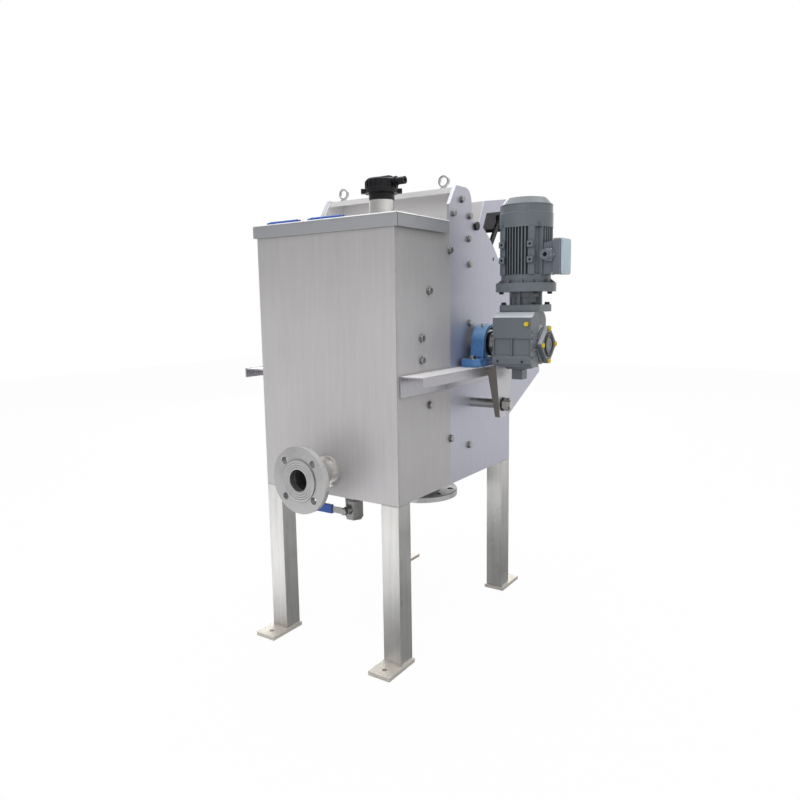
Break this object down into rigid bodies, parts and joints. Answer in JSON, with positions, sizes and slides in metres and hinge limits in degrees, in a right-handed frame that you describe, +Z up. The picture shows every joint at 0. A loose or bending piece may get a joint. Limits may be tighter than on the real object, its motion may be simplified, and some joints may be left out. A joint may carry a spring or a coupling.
{
  "type": "rotary drum screen",
  "caption": "Stainless rotary drum screen on square legs: inlet headbox with lid, wedge-wire drum on a shaft, upright gearmotor, hinged hood, chute and drain valve.",
  "frame": {"origin": "on the floor, in the middle of the four foot-plate bolt holes", "axes": "+X along the drum shaft to the drive side, -Y to the inlet, +Z up"},
  "size_m": [0.7605, 0.9386, 1.2124],
  "materials": {
    "stainless_sheet": "brushed",
    "stainless_plate": "brushed",
    "stainless_bright": "turned",
    "shaft_steel": "ground",
    "drum_steel": "satin",
    "bearing_blue": "semi gloss",
    "gearbox_grey": "semi gloss",
    "terminal_grey": "semi gloss",
    "black_plastic": "matte",
    "blue_plastic": "gloss",
    "yellow_plastic": "gloss",
    "white_plastic": "matte",
    "rubber": "matte",
    "brass": "plain"
  },
  "bodies": {
    "frame": {"legs": "stainless_bright", "foot_plates": "stainless_bright", "front_panel": "stainless_sheet", "headbox_sides": "stainless_sheet", "tank_floor": "stainless_sheet", "rear_panel": "stainless_sheet", "side_plate_drive": "stainless_plate", "side_plate_idle": "stainless_plate", "cross_beam": "stainless_sheet", "lifting_eyes": "stainless_bright", "baffle": "stainless_sheet", "baffle_seal": "rubber", "shelves": "stainless_plate", "inlet_flange": "stainless_bright", "inlet_pipe": "stainless_bright", "outlet_flange": "stainless_bright", "outlet_pipe": "stainless_bright", "drain_valve_body": "stainless_bright", "hinge_rod": "stainless_bright", "hinge_caps": "black_plastic", "drum_seals": "rubber", "seal_clamps": "stainless_bright", "chute_floor": "stainless_sheet", "bearing_housings": "bearing_blue", "bearing_outer_rings": "shaft_steel", "gearbox_case": "gearbox_grey", "output_cover": "gearbox_grey", "output_cover_caps": "yellow_plastic", "gearbox_plug": "brass", "motor_adapter": "gearbox_grey", "motor_case": "gearbox_grey", "motor_cowl": "gearbox_grey", "terminal_box": "gearbox_grey", "terminal_lid": "terminal_grey", "torque_arm": "stainless_plate", "torque_rod": "stainless_bright", "torque_bush": "rubber", "bolts": "stainless_bright"},
    "drum": {"drum_wedge_wires": "drum_steel", "drum_support_rods": "drum_steel", "drum_spiders": "drum_steel", "drum_shaft": "shaft_steel", "bearing_inner_rings": "shaft_steel", "output_sleeve": "shaft_steel"},
    "rotor": {"motor_rotor": "shaft_steel", "motor_fan": "black_plastic"},
    "drain_handle": {"drain_ball": "shaft_steel", "drain_stem": "shaft_steel", "drain_lever": "stainless_bright", "drain_lever_sleeve": "blue_plastic"},
    "lid": {"lid": "stainless_sheet", "lid_handles": "blue_plastic", "sensor_lock_ring": "black_plastic", "sensor_head": "black_plastic"},
    "hood": {"hood_skin": "stainless_plate", "hood_side_flanges": "stainless_plate", "hood_edge_seal": "rubber"},
    "stay": {"prop_stay": "black_plastic"},
    "scraper": {"scraper_blade": "white_plastic", "scraper_holder": "stainless_bright"}
  },
  "joints": [
    {"name": "drum_spin", "type": "hinge", "parent": "frame", "child": "drum", "pos_m": [0, 0.083, 0.7732], "axis": [1, 0, 0], "continuous": true},
    {"name": "rotor_spin", "type": "hinge", "parent": "frame", "child": "rotor", "pos_m": [0.359, 0.083, 1], "axis": [0, 0, 1], "continuous": true},
    {"name": "drain_turn", "type": "hinge", "parent": "frame", "child": "drain_handle", "pos_m": [0.036, -0.281, 0.366], "axis": [0, 1, 0], "range_deg": [-90, 0]},
    {"name": "lid_lift", "type": "slide", "parent": "frame", "child": "lid", "axis": [0, 0, 1], "range_m": [0, 0.35]},
    {"name": "hood_swing", "type": "hinge", "parent": "frame", "child": "hood", "pos_m": [0, 0.085, 1.085], "axis": [1, 0, 0], "range_deg": [-35, 0]},
    {"name": "stay_fold", "type": "hinge", "parent": "hood", "child": "stay", "pos_m": [0.186, 0.285, 1.125], "axis": [1, 0, 0], "range_deg": [-30, 0]},
    {"name": "scraper_tilt", "type": "hinge", "parent": "frame", "child": "scraper", "pos_m": [0, 0.34604, 0.78879], "axis": [1, 0, 0], "range_deg": [-12, 0]}
  ],
  "couplings": [
    {"joint": "rotor_spin", "follows": "drum_spin", "ratio": 57}
  ]
}
